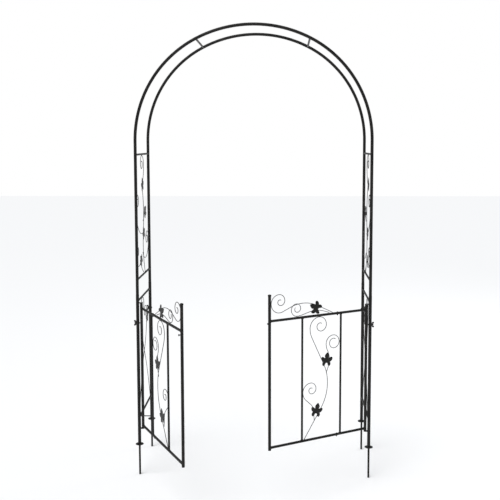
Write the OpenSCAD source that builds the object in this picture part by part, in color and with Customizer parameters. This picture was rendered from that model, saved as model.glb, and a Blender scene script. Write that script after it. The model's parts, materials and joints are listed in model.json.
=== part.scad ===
// Garden trellis arch with a pair of low gate leaves.
// Frame: +Z up, X across the passage, the gates hang on the front side (-Y).
// The origin is the middle of the footprint at ground level, the underside of the ground discs.

/* [Arch] */
// Distance between the left and right post centres
arch_w = 1150; // [950:10:1400]
// Distance between the front and rear post centres
arch_d = 366; // [300:2:450]
// Height at which the posts end and the bent arcs begin
spring_h = 1524; // [1480:2:1900]
// Bend radius of the haunches
haunch_r = 550; // [400:5:560]
// Angle through which the haunches turn before the flatter crown
haunch_turn = 63; // [50:1:70]

/* [Post tubes] */
// Outer diameter of the lower posts
lower_post_d = 16; // [14:0.5:20]
// Outer diameter of the upper posts and of the arcs
upper_post_d = 15; // [12:0.5:15.5]
// Wall of every post tube and arc
tube_wall = 1.2; // [0.8:0.1:1.5]
// Height of the seam between lower and upper posts
post_seam_h = 764; // [720:2:820]
// Length of the upper post's reduced end inside the lower post
post_overlap = 170; // [155:5:200]
// Length of each arc's reduced foot inside the upper post, and half the length of the crown sleeves
arc_overlap = 45; // [30:5:60]

/* [Rungs] */
// Diameter of the rungs
rung_d = 10; // [8:0.5:12]
// Height of the lowest rung
rung_1_h = 137; // [110:1:160]
// Height of the rung near the top of the lower posts
rung_2_h = 730; // [700:1:745]
// Height of the rung near the foot of the upper posts
rung_3_h = 838; // [800:1:880]
// Height of the top rung of the upper panel
rung_4_h = 1457; // [1380:1:1470]

/* [Ground stakes] */
// Diameter of the stake rods
stake_d = 10; // [8:0.5:12]
// Length of the stakes below the ground discs
stake_l = 157; // [120:1:200]
// Step in from each stake to its neck, which makes the shoulder that the ground disc rests on
stake_shoulder = 0.5; // [0.3:0.1:1.5]
// Diameter of the ground discs
disc_d = 40; // [34:1:60]
// Thickness of the ground discs
disc_t = 2; // [1.5:0.5:4]

/* [Post bolts] */
// Diameter of the bolts through the post joints
post_bolt_d = 5; // [4:0.5:6]
// Height of the post bolts
post_bolt_h = 622; // [615:1:660]
// Span of the wing nuts across their wings
wing_span = 30; // [24:1:36]

/* [Gate leaves] */
// Angle by which the left leaf stands open
left_open = 61; // [0:1:110]
// Angle by which the right leaf stands open
right_open = 30; // [0:1:110]
// Diameter of the hinge and meeting posts
gate_post_d = 14; // [12:0.5:16]
// Diameter of the gate rails
rail_d = 12; // [10:0.5:13]
// Diameter of the upright gate bars
bar_d = 10; // [8:0.5:11]
// Height of the lower rail
rail_low_h = 97; // [85:1:120]
// Height of the upper rail
rail_high_h = 697; // [620:1:760]
// Top of the meeting post, under its cap
meeting_post_top = 814; // [800:1:900]
// Distance of the bar nearer the hinge from the hinge axis
bar_1_u = 150; // [140:1:170]
// Distance of the bar nearer the meeting post from the hinge axis
bar_2_u = 367; // [355:1:400]
// Gap between the arch post and the gate's hinge post
hinge_gap = 4; // [4:0.5:8]
// Gap between the two meeting posts when the leaves are closed
meeting_gap = 12; // [8:1:20]
// Diameter of the hinge pins
hinge_pin_d = 9.9; // [7:0.1:10]

/* [Ornament] */
// Diameter of the bent wires
wire_d = 3; // [2:0.5:4]
// Height of a cast leaf
leaf_h = 70; // [60:1:76]
// Thickness of a cast leaf
leaf_t = 2.5; // [2:0.5:3]

/* [Hidden] */
$fn = 48;

// Clearances: a slip fit between telescoped tubes, a weld seat, and a loose hole round a bolt.
slip = 0.1;
seat = 0.15;
bolt_play = 0.2;
// Length of the step where a tube is reduced to its spigot.
shoulder_l = 3;
// How far the bead where an arc's radius changes stands proud, and how far from it each bend stops.
bead = 0.1;
bead_reach = 0.25;
// Gap between wires and leaves that lie in neighbouring planes.
plane_gap = 0.3;
// Largest turn between two stations of a swept wire.
wire_step = 15;
// Wires that meet behind a leaf stop this far above or below its middle.
leaf_stop = [0, 4];

// Places of the four posts: side is -1 on the left, 1 on the right; end is -1 at the front, 1 at the rear.
post_x = arch_w / 2;
post_y = arch_d / 2;

// The crown arc takes over where the haunch has turned, with the same tangent.
joint_x = post_x - haunch_r * (1 - cos(haunch_turn));
joint_z = spring_h + haunch_r * sin(haunch_turn);
crown_r = joint_x / cos(haunch_turn);
crown_z = joint_z - crown_r * sin(haunch_turn);
crown_turn = 90 - haunch_turn;

// Bores of the tubes and the reduced ends that slide into them.
lower_bore_d = lower_post_d - 2 * tube_wall;
upper_bore_d = upper_post_d - 2 * tube_wall;
post_spigot_d = lower_bore_d - 2 * slip;
arc_spigot_d = upper_bore_d - 2 * slip;
stake_neck_d = stake_d - 2 * stake_shoulder;
// The arcs keep one bore right through, so that their reduced feet have a full wall.
arc_bore_d = arc_spigot_d - 2 * tube_wall;
gate_wall = 1.2;
gate_bore_d = gate_post_d - 2 * gate_wall;
rail_bore_d = rail_d - 2 * gate_wall;
rail_spigot_d = rail_bore_d - 2 * slip;
rail_spigot_wall = 1;

// Hinges: the axis stands beside the front post, and the leaf reaches from it to the meeting post.
hinge_x = post_x - lower_post_d / 2 - hinge_gap - gate_post_d / 2;
leaf_w = hinge_x - meeting_gap / 2 - gate_post_d / 2;
hinge_play = 0.05;
hinge_bore_d = hinge_pin_d + 2 * hinge_play;
hinge_post_low = rail_low_h - rail_d / 2 - 6;
hinge_post_top = rail_high_h + rail_d / 2 + 18;
hinge_pin_l = 25;
lug_t = 4;
lug_w = 14;
lug_play = 0.3;

// The rails are joined outboard of the bar nearer the hinge, with one upright bolt each.
rail_joint_u = bar_1_u + 40;
rail_bolt_u = bar_1_u + 20;
rail_spigot_l = 32;
rail_bolt_d = 4;

// Sizes of bolt heads and nuts, as multiples of the bolt's diameter.
head_d_ratio = 1.7;
head_h_ratio = 0.44;
nut_d_ratio = 1.9;
nut_h_ratio = 0.7;

wire_r = wire_d / 2;
// The branches lie behind the stem, and the leaves in front of it.
branch_plane = -wire_d - plane_gap;
leaf_plane = wire_r + plane_gap;

cap_d = gate_post_d + 3;
latch_d = 4.5;
latch_h = rail_high_h - 15;
iron = [0.09, 0.09, 0.10];
iron_light = [0.16, 0.16, 0.17];

// ---- Shared shapes ----

// A round tube standing on z = 0.
module tube(length, outer, bore) {
    difference() {
        cylinder(h = length, d = outer);
        translate([0, 0, -1])
            cylinder(h = length + 2, d = bore);
    }
}

// A bent tube: part of a ring round the local Z axis, from the local X axis.
module bent_tube(ring_r, turn, outer, bore) {
    rotate_extrude(angle = turn, $fn = 180)
        translate([ring_r, 0])
            difference() {
                circle(d = outer);
                circle(d = bore);
            }
}

// Children at one post; side and end are -1 or 1.
module at_post(side, end) {
    translate([side * post_x, end * post_y, 0])
        children();
}

// A solid round bar along Z from low to high.
module rod(low, high, d) {
    translate([0, 0, low])
        cylinder(h = high - low, d = d);
}

// A round-headed bolt along Z: the head's underside is at z = 0 and the shank goes down.
module bolt(d, length) {
    rod(-length, 0, d);
    rod(0, head_h_ratio * d, head_d_ratio * d);
}

// Angle that a length along a ring takes.
function end_turn(length, ring_r) = length / ring_r * 180 / PI;

// Where a bend ends: a bend is [length, 0] for a straight, or [radius, turn], left turns positive.
function bend_end(p, heading, bend) =
    bend[1] == 0
        ? p + bend[0] * [cos(heading), sin(heading)]
        : p + sign(bend[1]) * bend[0]
            * [sin(heading + bend[1]) - sin(heading), cos(heading) - cos(heading + bend[1])];

// Quarter turns whose radius shrinks by the same ratio each time, then a last short hook.
function scroll(radius, shrink, quarters, side = 1) =
    concat([for (i = [0 : quarters - 1]) [radius * pow(shrink, i), 90 * side]],
           [[radius * pow(shrink, quarters), 40 * side]]);

// Where a whole run of bends ends.
function wire_end(p, heading, bends, i = 0) =
    i == len(bends)
        ? p
        : wire_end(bend_end(p, heading, bends[i]), heading + bends[i][1], bends, i + 1);

// The turn that a whole run of bends makes.
function total_turn(bends, i = 0) = i == len(bends) ? 0 : bends[i][1] + total_turn(bends, i + 1);

function chord_angle(a, b) = atan2(b[1] - a[1], b[0] - a[0]);
function wrapped(angle) = angle - 360 * round(angle / 360);

// The arc from a to b that turns by a given angle, and the heading it starts with.
function arc_bend(a, b, turn) = [norm(b - a) / (2 * sin(abs(turn) / 2)), turn];
function arc_heading(a, b, turn) = chord_angle(a, b) - turn / 2;

// The arc that leaves p with a given heading and ends at the target.
function bend_to(p, heading, target) =
    arc_bend(p, target, 2 * wrapped(chord_angle(p, target) - heading));

// Arcs that run smoothly from p through each target in turn.
function bends_through(p, heading, targets, i = 0) =
    i == len(targets)
        ? []
        : let (bend = bend_to(p, heading, targets[i]))
            concat([bend], bends_through(targets[i], heading + bend[1], targets, i + 1));

// An arc that turns by a given angle and then a straight that ends at the target.
function run_to(p, heading, target, turn) =
    let (arc = sign(turn) * [sin(heading + turn) - sin(heading), cos(heading) - cos(heading + turn)],
         way = [cos(heading + turn), sin(heading + turn)],
         reach = target - p,
         area = cross(arc, way))
        [[cross(reach, way) / area, turn], [cross(arc, reach) / area, 0]];

// A point a fraction of the way along a bend.
function bend_at(p, heading, bend, part) =
    part == 0 ? p : bend_end(p, heading, bend[1] == 0 ? [bend[0] * part, 0] : [bend[0], bend[1] * part]);

// Places and headings along a run of bends, close enough together for a smooth sweep.
function stations(p, heading, bends, i = 0) =
    i == len(bends)
        ? [[p, heading]]
        : let (bend = bends[i], steps = max(1, ceil(abs(bend[1]) / wire_step)))
            concat([for (k = [0 : steps - 1]) [bend_at(p, heading, bend, k / steps), heading + bend[1] * k / steps]],
                   stations(bend_end(p, heading, bend), heading + bend[1], bends, i + 1));

// The same places taken in the other direction.
function reversed(run) = [for (i = [len(run) - 1 : -1 : 0]) [run[i][0], run[i][1] + 180]];

// One wire in the local XY plane, swept through its stations.
module swept_wire(run) {
    sides = 6;
    last = len(run) - 1;
    points = [for (s = run, k = [0 : sides - 1])
        let (out = wire_r * cos(360 * k / sides), up = wire_r * sin(360 * k / sides))
            [s[0][0] - out * sin(s[1]), s[0][1] + out * cos(s[1]), up]];
    walls = [for (i = [0 : last - 1], k = [0 : sides - 1])
        let (here = i * sides, next = (i + 1) * sides, k2 = (k + 1) % sides)
            [here + k, next + k, next + k2, here + k2]];
    start_cap = [for (k = [0 : sides - 1]) k];
    end_cap = [for (k = [sides - 1 : -1 : 0]) last * sides + k];
    polyhedron(points = points, faces = concat([start_cap, end_cap], walls));
}

// A wire bent step by step from a start point and heading.
module wire(start, heading, bends) {
    swept_wire(stations(start, heading, bends));
}

// A wire that passes upright through a place: a curl above it and a tail below it.
module curled_wire(place, curl, tail) {
    above = reversed(stations(place, 90, curl));
    below = stations(place, -90, tail);
    swept_wire(concat(above, [for (i = [1 : len(below) - 1]) below[i]]));
}

// A wire on one arc from a to b that turns by the given angle.
module arc_wire(a, b, turn) {
    wire(a, arc_heading(a, b, turn), [arc_bend(a, b, turn)]);
}

// Half of a five-lobed leaf, as fractions of its height, from the tip down to the stem's notch.
leaf_half = [
    [0, 0.54], [0.10, 0.44], [0.18, 0.30], [0.17, 0.20], [0.08, 0.09],
    [0.24, 0.12], [0.36, 0.22], [0.46, 0.16], [0.42, 0.02], [0.36, -0.10],
    [0.23, -0.08], [0.27, -0.20], [0.30, -0.34], [0.22, -0.42], [0.10, -0.30], [0.06, -0.14]
];
module leaf_outline() {
    polygon(concat(
        [for (p = leaf_half) leaf_h * p],
        [for (i = [len(leaf_half) - 1 : -1 : 1]) leaf_h * [-leaf_half[i][0], leaf_half[i][1]]]));
}

// A flat leaf in front of the stem, its tip turned by lean from straight up.
module leaf(place, lean) {
    translate([place[0], place[1], leaf_plane])
        rotate([0, 0, lean])
            linear_extrude(leaf_t)
                leaf_outline();
}

// ---- Arch frame ----

module bolt_bore(height) {
    translate([0, 0, height])
        rotate([0, 90, 0])
            cylinder(h = 2 * lower_post_d, d = post_bolt_d + 2 * bolt_play, center = true);
}

module lower_post(side, end) {
    color(iron)
        at_post(side, end)
            difference() {
                translate([0, 0, disc_t])
                    tube(post_seam_h - disc_t, lower_post_d, lower_bore_d);
                bolt_bore(post_bolt_h);
            }
}

module upper_post(side, end) {
    color(iron)
        at_post(side, end)
            difference() {
                union() {
                    rod(post_seam_h + slip, spring_h - slip, upper_post_d);
                    rod(post_seam_h - post_overlap, post_seam_h + slip, post_spigot_d);
                }
                rod(post_seam_h + shoulder_l, spring_h + 1, upper_bore_d);
                rod(post_seam_h - post_overlap - 1, post_seam_h + shoulder_l + 1, post_spigot_d - 2 * tube_wall);
                bolt_bore(post_bolt_h);
            }
}

// Children in the plane of one arch hoop, local X to the right and local Y up.
module in_hoop(end) {
    translate([0, end * post_y, 0])
        rotate([90, 0, 0])
            children();
}

// Half an arc, drawn on the right and mirrored for the left: the reduced foot, the haunch, the crown,
// and a low bead where the bend's radius changes.
module arc_half(side, end) {
    crown_slip = end_turn(slip / 2, crown_r);
    haunch_reach = end_turn(bead_reach, haunch_r);
    crown_reach = end_turn(bead_reach, crown_r);
    color(iron)
        in_hoop(end)
            mirror([side < 0 ? 1 : 0, 0, 0]) {
                translate([post_x, spring_h - arc_overlap, 0])
                    rotate([-90, 0, 0])
                        tube(arc_overlap, arc_spigot_d, arc_bore_d);
                translate([post_x - haunch_r, spring_h, 0])
                    bent_tube(haunch_r, haunch_turn - haunch_reach, upper_post_d, arc_bore_d);
                translate([joint_x, joint_z, 0])
                    rotate([0, 0, haunch_turn])
                        difference() {
                            sphere(d = upper_post_d + 2 * bead, $fn = 96);
                            rotate([90, 0, 0])
                                cylinder(h = 2 * upper_post_d, d = arc_bore_d + 2 * bead, center = true);
                        }
                translate([0, crown_z, 0])
                    mirror([1, 0, 0])
                        rotate([0, 0, 90 + crown_slip])
                            bent_tube(crown_r, crown_turn - crown_slip - crown_reach, upper_post_d,
                                      arc_bore_d);
            }
}

// The curved sleeves inside the joint at the apex of each hoop.
module crown_sleeves() {
    sleeve_d = arc_bore_d - 2 * slip;
    sleeve_turn = end_turn(arc_overlap, crown_r);
    color(iron)
        for (end = [-1, 1])
            in_hoop(end)
                translate([0, crown_z, 0])
                    rotate([0, 0, 90 - sleeve_turn])
                        bent_tube(crown_r, 2 * sleeve_turn, sleeve_d, sleeve_d - 2 * tube_wall);
}

// A rung between the front and rear posts, coped round both.
module rung(side, height, post_d) {
    color(iron)
        difference() {
            translate([side * post_x, 0, height])
                rotate([90, 0, 0])
                    cylinder(h = arch_d, d = rung_d, center = true);
            for (end = [-1, 1])
                at_post(side, end)
                    rod(height - rung_d, height + rung_d, post_d + 2 * seat);
        }
}

module crown_rung(side) {
    color(iron)
        translate([side * joint_x, 0, joint_z])
            rotate([0, side * crown_turn, 0])
                difference() {
                    rotate([90, 0, 0])
                        cylinder(h = arch_d, d = rung_d, center = true);
                    for (end = [-1, 1])
                        translate([0, end * post_y, 0])
                            rotate([0, 90, 0])
                                cylinder(h = 2 * rung_d, d = upper_post_d + 2 * seat, center = true);
                }
}

module lower_rungs(side) {
    rung(side, rung_1_h, lower_post_d);
    rung(side, rung_2_h, lower_post_d);
}

module upper_rungs(side) {
    rung(side, rung_3_h, upper_post_d);
    rung(side, rung_4_h, upper_post_d);
}

// The stake's thicker head plugs the post. A narrower neck passes through the ground disc, and the disc
// rests on the shoulder below it.
module stake(side, end) {
    tip_chamfer = 1.5;
    plug_l = 40;
    color(iron)
        at_post(side, end) {
            rod(-stake_l + tip_chamfer, -slip, stake_d);
            translate([0, 0, -stake_l])
                cylinder(h = tip_chamfer, d1 = stake_d - 2 * tip_chamfer, d2 = stake_d);
            rod(-slip, disc_t + slip, stake_neck_d);
            rod(disc_t + slip, disc_t + plug_l, lower_bore_d - 2 * slip);
        }
}

// Pressed discs; the hole is countersunk, so that its lower edge clears the stake's shoulder.
module ground_discs() {
    color(iron)
        for (side = [-1, 1], end = [-1, 1])
            at_post(side, end)
                difference() {
                    tube(disc_t, disc_d, stake_neck_d + 2 * slip);
                    cylinder(h = stake_shoulder, d1 = stake_d + 2 * slip, d2 = stake_neck_d + 2 * slip);
                }
}

// ---- Post bolts: the head is inside the passage, the wing nut outside ----

module post_bolts() {
    grip = lower_post_d + nut_h_ratio * 2 * post_bolt_d;
    color(iron_light)
        for (side = [-1, 1], end = [-1, 1])
            at_post(side, end)
                translate([-side * (lower_post_d / 2 + seat), 0, post_bolt_h])
                    rotate([0, -side * 90, 0])
                        bolt(post_bolt_d, grip + 2);
}

module wing_nut() {
    hub_d = 2 * post_bolt_d;
    hub_h = nut_h_ratio * post_bolt_d + 2;
    wing_d = hub_d + 2;
    wing_t = 2;
    difference() {
        union() {
            cylinder(h = hub_h, d = hub_d);
            intersection() {
                for (side = [-1, 1])
                    translate([side * (wing_span - wing_d) / 2, 0, hub_h])
                        rotate([90, 0, 0])
                            cylinder(h = wing_t, d = wing_d, center = true);
                translate([-wing_span / 2, -wing_t, 1])
                    cube([wing_span, 2 * wing_t, 2 * hub_h]);
            }
        }
        translate([0, 0, -1])
            cylinder(h = 4 * hub_h, d = post_bolt_d + 2 * slip);
    }
}

module wing_nuts() {
    color(iron_light)
        for (side = [-1, 1], end = [-1, 1])
            at_post(side, end)
                translate([side * (lower_post_d / 2 + seat), 0, post_bolt_h])
                    rotate([0, side * 90, 0])
                        wing_nut();
}

// ---- Side panel ornament: drawn with local X from the front post to the rear post, local Y up ----

module on_side(side) {
    translate([side * post_x, -post_y, 0])
        rotate([90, 0, 90])
            children();
}

// Where a wire's centre lies when it touches an upright of the given diameter at x.
function touch_right_of(x, d) = x + d / 2 + wire_r + seat;
function touch_left_of(x, d) = x - d / 2 - wire_r - seat;
function touch_above(h, d) = h + d / 2 + wire_r + seat;
function touch_below(h, d) = h - d / 2 - wire_r - seat;

// Upper panel: one waving stem under a top scroll, with two front curls and a rear curl.
upper_top = touch_below(rung_4_h, rung_d);
upper_foot = touch_above(rung_3_h, rung_d);
upper_front = touch_right_of(0, upper_post_d);
upper_rear = touch_left_of(arch_d, upper_post_d);
upper_leaf_1 = [arch_d / 2 - 15, upper_top - 150];
upper_leaf_2 = [arch_d / 2 + 70, upper_top - 295];
upper_leaf_3 = [arch_d / 2 + 5, upper_top - 400];
upper_leaf_4 = [arch_d / 2 - 55, upper_foot + 72];

module upper_vine(side) {
    top_r = 50;
    side_r = 42;
    foot_r = 34;
    top_place = [arch_d / 2 + 40, upper_top - top_r];
    front_place = [upper_front, upper_top - 235];
    rear_place = [upper_rear, upper_top - 445];
    foot_place = [upper_front, upper_foot + 118];
    stem_foot = [arch_d / 2 + 45, upper_foot];
    color(iron)
        on_side(side) {
            curled_wire(top_place, scroll(top_r, 0.76, 5), [bend_to(top_place, -90, upper_leaf_1)]);
            arc_wire(upper_leaf_3 + leaf_stop, upper_leaf_1 - leaf_stop, 50);
            arc_wire(stem_foot, upper_leaf_3 - leaf_stop, -46);
            translate([0, 0, branch_plane]) {
                curled_wire(front_place, scroll(side_r, 0.8, 5, -1), [bend_to(front_place, -90, upper_leaf_3)]);
                arc_wire(upper_leaf_3 + [15, 62], upper_leaf_2, 40);
                curled_wire(rear_place, scroll(side_r, 0.8, 5),
                            [bend_to(rear_place, -90, upper_leaf_3 - [0, 100])]);
                curled_wire(foot_place, scroll(foot_r, 0.78, 5, -1), [bend_to(foot_place, -90, upper_leaf_4)]);
            }
            translate([0, 0, 2 * branch_plane])
                arc_wire(stem_foot - [12, 0], upper_leaf_4, -30);
        }
}

// Lower panel: two long wires that cross as an X, each with a scroll below the upper rung.
lower_top = touch_below(rung_2_h, rung_d);
lower_foot = touch_above(rung_1_h, rung_d);
lower_leaf = [arch_d / 2 + 85, lower_top - 130];

// One long wire from its scroll past the crossing to its foot; turn is -1 for a wire that curls at the front.
module crossing_wire(turn, top_drop, top_r) {
    reach = 88;
    place = [arch_d / 2 + turn * reach, lower_top - top_drop];
    crossing = [arch_d / 2 + turn * 13, lower_foot + 296];
    foot = [arch_d / 2 - turn * 142, lower_foot];
    curled_wire(place, scroll(top_r, 0.76, 5, turn), bends_through(place, -90, [crossing, foot]));
}

module lower_vine(side) {
    color(iron)
        on_side(side) {
            crossing_wire(-1, 45, 45);
            translate([0, 0, branch_plane])
                crossing_wire(1, 100, 38);
        }
}

module side_leaves(side) {
    color(iron)
        on_side(side) {
            leaf(upper_leaf_1, 10);
            leaf(upper_leaf_2, -40);
            leaf(upper_leaf_3, 20);
            leaf(upper_leaf_4, 45);
            leaf(lower_leaf, 5);
        }
}

// A short peg with a thick end, beside the front end of the lowest rung, pointing into the passage.
module side_peg() {
    peg_d = 5;
    peg_l = 64;
    head_d = 8;
    head_l = 7;
    color(iron)
        translate([-post_x + rung_d / 2 + seat, -post_y + 26, rung_1_h])
            rotate([0, 90, 0]) {
                rod(0, peg_l, peg_d);
                rod(peg_l - head_l, peg_l, head_d);
            }
}

// ---- Hinges: each lug is welded to a front post and carries a pin for the gate's hinge post ----

module hinge_lug(side, height, pin_way) {
    color(iron_light) {
        difference() {
            union() {
                translate([side * (hinge_x + post_x) / 2, -post_y, height])
                    cube([post_x - hinge_x, lug_w, lug_t], center = true);
                translate([side * hinge_x, -post_y, height])
                    cylinder(h = lug_t, d = lug_w, center = true);
            }
            at_post(side, -1)
                rod(height - lug_t, height + lug_t, lower_post_d + 2 * seat);
        }
        translate([side * hinge_x, -post_y, height])
            mirror([0, 0, pin_way > 0 ? 0 : 1])
                rod(0, lug_t / 2 + lug_play + hinge_pin_l, hinge_pin_d);
    }
}

module hinge_lugs(side) {
    hinge_lug(side, hinge_post_low - lug_play - lug_t / 2, 1);
    hinge_lug(side, hinge_post_top + lug_play + lug_t / 2, -1);
}

// ---- Gate leaf: drawn closed, with the hinge axis at local X = 0 and the meeting post at X = leaf_w ----

// Sets a leaf on its hinge and swings it open towards the front; the right leaf is the mirror image.
module hung(side) {
    mirror([side > 0 ? 1 : 0, 0, 0])
        translate([-hinge_x, -post_y, 0])
            rotate([0, 0, side > 0 ? -right_open : -left_open])
                children();
}

module rail_bolt_bore(height) {
    translate([rail_bolt_u, 0, height])
        cylinder(h = 2 * rail_d, d = rail_bolt_d + 2 * bolt_play, center = true);
}

module gate_hinge_post(side) {
    color(iron)
        hung(side)
            translate([0, 0, hinge_post_low])
                tube(hinge_post_top - hinge_post_low, gate_post_d, hinge_bore_d);
}

module meeting_post(side) {
    color(iron)
        hung(side)
            difference() {
                translate([leaf_w, 0, hinge_post_low])
                    tube(meeting_post_top - hinge_post_low, gate_post_d, gate_bore_d);
                translate([leaf_w, 0, latch_h])
                    rotate([90, 0, 0])
                        cylinder(h = 2 * gate_post_d, d = latch_d + 2 * bolt_play, center = true);
            }
}

// A domed cap whose plug fits the meeting post's bore.
module post_cap(side) {
    brim_h = 4;
    dome_h = 4;
    plug_l = 12;
    dome_r = (cap_d * cap_d / 4 + dome_h * dome_h) / (2 * dome_h);
    color(iron)
        hung(side)
            translate([leaf_w, 0, meeting_post_top]) {
                rod(-plug_l, seat, gate_bore_d - 2 * slip);
                rod(seat, seat + brim_h, cap_d);
                intersection() {
                    translate([0, 0, seat + brim_h + dome_h - dome_r])
                        sphere(dome_r, $fn = 96);
                    rod(seat + brim_h, seat + brim_h + dome_h, cap_d);
                }
            }
}

// The rail's short part from the hinge post to the joint.
module rail_stub(height) {
    difference() {
        translate([0, 0, height])
            rotate([0, 90, 0])
                tube(rail_joint_u, rail_d, rail_bore_d);
        rod(height - rail_d, height + rail_d, gate_post_d + 2 * seat);
        rail_bolt_bore(height);
    }
}

module rail_stubs(side) {
    color(iron)
        hung(side)
            for (height = [rail_low_h, rail_high_h])
                rail_stub(height);
}

// The rail's long part, whose reduced end slides into the stub.
module gate_rail(side, height) {
    spigot_bore = rail_spigot_d - 2 * rail_spigot_wall;
    color(iron)
        hung(side)
            difference() {
                translate([rail_joint_u + slip, 0, height])
                    rotate([0, 90, 0])
                        difference() {
                            union() {
                                rod(0, leaf_w - rail_joint_u, rail_d);
                                rod(-rail_spigot_l, 0, rail_spigot_d);
                            }
                            rod(shoulder_l, leaf_w, rail_bore_d);
                            rod(-rail_spigot_l - 1, shoulder_l + 1, spigot_bore);
                        }
                translate([leaf_w, 0, 0])
                    rod(height - rail_d, height + rail_d, gate_post_d + 2 * seat);
                rail_bolt_bore(height);
            }
}

module gate_bars(side) {
    color(iron)
        hung(side)
            difference() {
                for (u = [bar_1_u, bar_2_u])
                    translate([u, 0, 0])
                        rod(rail_low_h, rail_high_h, bar_d);
                for (height = [rail_low_h, rail_high_h])
                    translate([0, 0, height])
                        rotate([0, 90, 0])
                            rod(0, leaf_w, rail_d + 2 * seat);
            }
}

// Upright bolts through the rail joints: head on top, hex nut underneath.
module rail_bolts(side) {
    nut_h = nut_h_ratio * rail_bolt_d;
    color(iron_light)
        hung(side)
            for (height = [rail_low_h, rail_high_h])
                translate([rail_bolt_u, 0, height]) {
                    translate([0, 0, rail_d / 2 + seat])
                        bolt(rail_bolt_d, rail_d + nut_h + 3);
                    translate([0, 0, -rail_d / 2 - seat - nut_h])
                        difference() {
                            cylinder(h = nut_h, d = nut_d_ratio * rail_bolt_d, $fn = 6);
                            translate([0, 0, -1])
                                cylinder(h = nut_h + 2, d = rail_bolt_d + 2 * slip);
                        }
                }
}

// A headed stud through the meeting post: at the front of the left leaf, at the back of the right leaf.
module latch_stud(side) {
    stand_off = 6;
    head_h = 3;
    color(iron_light)
        hung(side)
            translate([leaf_w, 0, latch_h])
                rotate([side < 0 ? 90 : -90, 0, 0]) {
                    rod(-gate_post_d / 2, gate_post_d / 2 + stand_off + head_h, latch_d);
                    rod(gate_post_d / 2 + stand_off, gate_post_d / 2 + stand_off + head_h, 2 * latch_d);
                }
}

// ---- Gate ornament: drawn with local X along the leaf and local Y up ----

module on_leaf(side) {
    hung(side)
        rotate([90, 0, 0])
            children();
}

gate_top = touch_below(rail_high_h, rail_d);
gate_foot = touch_above(rail_low_h, rail_d);
crest_foot = touch_above(rail_high_h, rail_d);

// The tail of the top scroll hangs down to the high fork, and the stem goes on from there to the foot.
top_scroll_r = 52;
top_scroll_place = [bar_1_u + 174, gate_top - top_scroll_r];
top_scroll_tail = [[100, -26], [161, 0], [180, 14]];
high_fork = wire_end(top_scroll_place, -90, top_scroll_tail);
side_scroll_r = 40;
side_scroll_shrink = 0.86;
side_scroll_place = [touch_right_of(bar_1_u, bar_d) + side_scroll_r * (1 + side_scroll_shrink),
                     rail_high_h - 145];
low_scroll_place = [touch_left_of(bar_2_u, bar_d), rail_low_h + 234];
gate_leaf_1 = [bar_1_u + 81, rail_high_h - 222];
gate_leaf_2 = [bar_2_u - 80, rail_low_h + 138];

module gate_vine(side) {
    stem_foot = [bar_2_u - 13, gate_foot];
    stem_turn = 46;
    color(iron)
        on_leaf(side) {
            curled_wire(top_scroll_place, scroll(top_scroll_r, 0.76, 5),
                        concat(top_scroll_tail,
                               run_to(high_fork, -90 + total_turn(top_scroll_tail), stem_foot, stem_turn)));
            translate([0, 0, branch_plane]) {
                curled_wire(side_scroll_place, scroll(side_scroll_r, side_scroll_shrink, 5),
                            [[70, -28], [95, 50], [30, 0]]);
                curled_wire(low_scroll_place, scroll(42, 0.74, 5), [[53, -48], [36, 0], [45, 42], [50, 0]]);
            }
        }
}

// The crest's long wire leaves the upper rail, dips past the second scroll and curls beside the post.
crest_place = [touch_left_of(leaf_w, gate_post_d), rail_high_h + 78];
crest_run = [[44, -112], [48, 0], [170, 22], [190, 26]];
crest_slope = 26;
crest_landing = wire_end(crest_place, -90, crest_run);
crest_leaf = [leaf_w - 250, rail_high_h + 39];

module gate_crest(side) {
    second_place = [leaf_w - 118, crest_foot + 31];
    second_run = [[31, -90], [110, -14], [40, 0], [150, 32]];
    second_slope = 18;
    second_landing = wire_end(second_place, -90, second_run);
    color(iron)
        on_leaf(side) {
            curled_wire(crest_place, scroll(42, 0.72, 5),
                        concat(crest_run, [[(crest_landing[1] - crest_foot) / sin(crest_slope), 0]]));
            translate([0, 0, branch_plane])
                curled_wire(second_place, scroll(28, 0.8, 4),
                            concat(second_run, [[(second_landing[1] - crest_foot) / sin(second_slope), 0]]));
        }
}

module gate_leaves(side) {
    color(iron)
        on_leaf(side) {
            leaf(gate_leaf_1, 6);
            leaf(gate_leaf_2, 14);
            leaf(crest_leaf, -62);
        }
}

lower_post(-1, -1);  // lower_post_front_left
lower_post(1, -1);  // lower_post_front_right
lower_post(-1, 1);  // lower_post_rear_left
lower_post(1, 1);  // lower_post_rear_right
upper_post(-1, -1);  // upper_post_front_left
upper_post(1, -1);  // upper_post_front_right
upper_post(-1, 1);  // upper_post_rear_left
upper_post(1, 1);  // upper_post_rear_right
arc_half(-1, -1);  // arc_front_left
arc_half(1, -1);  // arc_front_right
arc_half(-1, 1);  // arc_rear_left
arc_half(1, 1);  // arc_rear_right
crown_sleeves();
crown_rung(-1);  // crown_rung_left
crown_rung(1);  // crown_rung_right
lower_rungs(-1);  // lower_rungs_left
lower_rungs(1);  // lower_rungs_right
upper_rungs(-1);  // upper_rungs_left
upper_rungs(1);  // upper_rungs_right
stake(-1, -1);  // stake_front_left
stake(1, -1);  // stake_front_right
stake(-1, 1);  // stake_rear_left
stake(1, 1);  // stake_rear_right
ground_discs();
lower_vine(-1);  // lower_vine_left
lower_vine(1);  // lower_vine_right
upper_vine(-1);  // upper_vine_left
upper_vine(1);  // upper_vine_right
side_leaves(-1);  // side_leaves_left
side_leaves(1);  // side_leaves_right
post_bolts();
wing_nuts();
hinge_lugs(-1);  // hinge_lugs_left
hinge_lugs(1);  // hinge_lugs_right
side_peg();
gate_hinge_post(-1);  // left_hinge_post
meeting_post(-1);  // left_meeting_post
post_cap(-1);  // left_post_cap
gate_rail(-1, rail_high_h);  // left_top_rail
gate_rail(-1, rail_low_h);  // left_bottom_rail
rail_stubs(-1);  // left_rail_stubs
gate_bars(-1);  // left_gate_bars
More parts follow.
